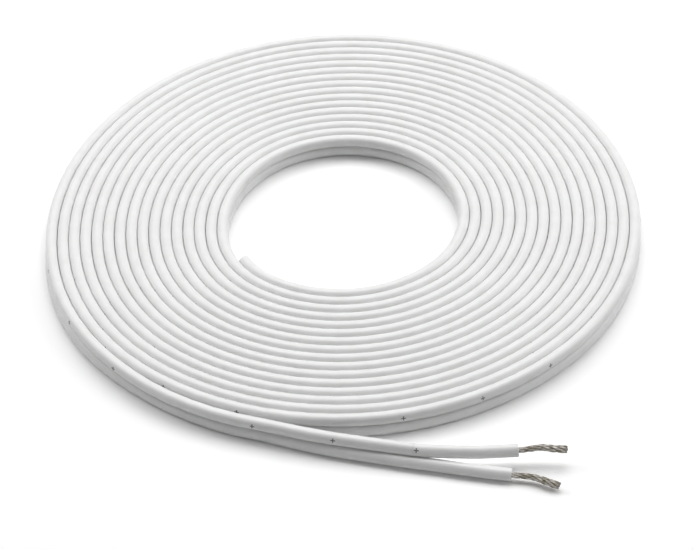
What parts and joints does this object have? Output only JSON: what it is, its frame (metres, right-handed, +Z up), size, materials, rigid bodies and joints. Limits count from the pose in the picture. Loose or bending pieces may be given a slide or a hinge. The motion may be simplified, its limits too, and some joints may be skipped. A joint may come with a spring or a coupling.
{
  "type": "coiled twin-core cable",
  "caption": "Loose flat coil of white twin-core flex, with its leads parted at the outer end and stripped to bare strands.",
  "frame": {"origin": "on the surface that the coil rests on, under the middle of the whole outline, leads and bare ends included", "axes": "+Z up, square to the coil's plane; +Y away from the parted leads, the longest way; +X the way the bare ends point"},
  "size_m": [0.1404, 0.1572, 0.0054],
  "materials": {
    "insulation": "satin white plastic",
    "conductor": "tinned copper, dull silver"
  },
  "bodies": {
    "root": {"insulation_coil": "insulation", "insulation_tail": "insulation", "positive_leg_insulation": "insulation", "negative_leg_insulation": "insulation", "positive_conductor": "conductor", "negative_conductor": "conductor", "positive_strand_1": "conductor", "positive_strand_2": "conductor", "positive_strand_3": "conductor", "positive_strand_4": "conductor", "positive_strand_5": "conductor", "positive_strand_6": "conductor", "positive_strand_7": "conductor", "negative_strand_1": "conductor", "negative_strand_2": "conductor", "negative_strand_3": "conductor", "negative_strand_4": "conductor", "negative_strand_5": "conductor", "negative_strand_6": "conductor", "negative_strand_7": "conductor"}
  },
  "joints": []
}
